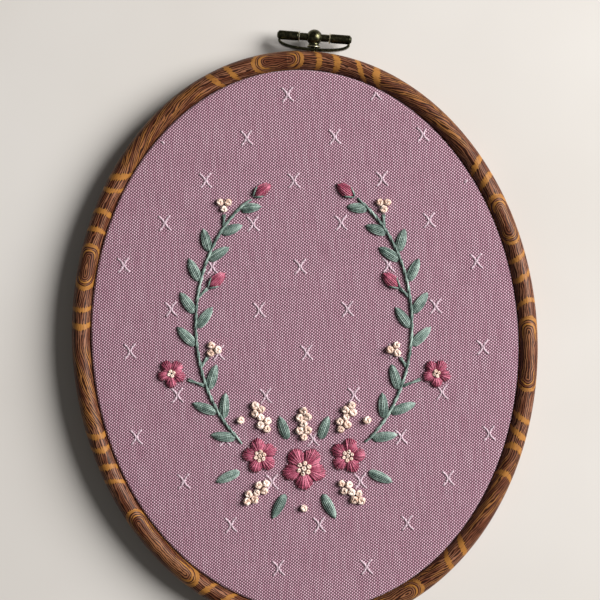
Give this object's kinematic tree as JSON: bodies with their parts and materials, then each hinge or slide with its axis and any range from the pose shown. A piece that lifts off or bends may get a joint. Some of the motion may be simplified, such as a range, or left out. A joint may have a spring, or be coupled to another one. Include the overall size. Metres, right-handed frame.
{
  "type": "hoop embroidery with its oval embroidery hoop",
  "caption": "Oval embroidery hoop with dusty rose cloth stretched in it, a raised stitched wreath of leaves, blossoms and knots, and a small metal hanger at the top.",
  "frame": {"origin": "middle of the part's outline seen from above, on the surface that the hoop's back lies on", "axes": "+Z out of the stitched face, +Y towards the hanger along the oval, +X to the viewer's right"},
  "size_m": [0.1168, 0.1506, 0.0089],
  "materials": {
    "ring_print": "flexible vinyl with a printed wood grain, satin",
    "inner_ring": "plain brown moulded plastic, satin",
    "cloth": "plain-weave yarn-dyed cotton with a small woven white cross repeat",
    "bronze": "dark antique bronze plating, polished on its high spots",
    "green_thread": "stranded cotton in grey sage green",
    "rose_thread": "stranded cotton in berry rose, satin stitch",
    "cream_thread": "stranded cotton in warm cream, French knots"
  },
  "bodies": {
    "root": {"outer_ring": "ring_print", "inner_ring": "inner_ring", "cloth": "cloth", "hanger_strap": "bronze", "hanger_post": "bronze", "hanger_barrel_left": "bronze", "hanger_barrel_right": "bronze", "sprig_left": "green_thread", "side_blossom_left_petals": "rose_thread", "side_blossom_left_centre": "cream_thread", "low_knots_left": "cream_thread", "side_bud_left": "rose_thread", "high_knots_left": "cream_thread", "tip_bud_left": "rose_thread", "sprig_right": "green_thread", "side_blossom_right_petals": "rose_thread", "side_blossom_right_centre": "cream_thread", "low_knots_right": "cream_thread", "side_bud_right": "rose_thread", "high_knots_right": "cream_thread", "tip_bud_right": "rose_thread", "leaf_low_right": "green_thread", "leaf_low_left": "green_thread", "leaf_high_right": "green_thread", "leaf_high_left": "green_thread", "leaf_side_right": "green_thread", "leaf_side_left": "green_thread", "spray_middle": "cream_thread", "spray_high_right": "cream_thread", "spray_high_left": "cream_thread", "spray_low_right": "cream_thread", "spray_low_left": "cream_thread", "knot_low": "cream_thread", "knot_side_right": "cream_thread", "knot_side_left": "cream_thread", "foot_blossom_middle_petals": "rose_thread", "foot_blossom_middle_centre": "cream_thread", "foot_blossom_left_petals": "rose_thread", "foot_blossom_left_centre": "cream_thread", "foot_blossom_right_petals": "rose_thread", "foot_blossom_right_centre": "cream_thread"}
  },
  "joints": []
}
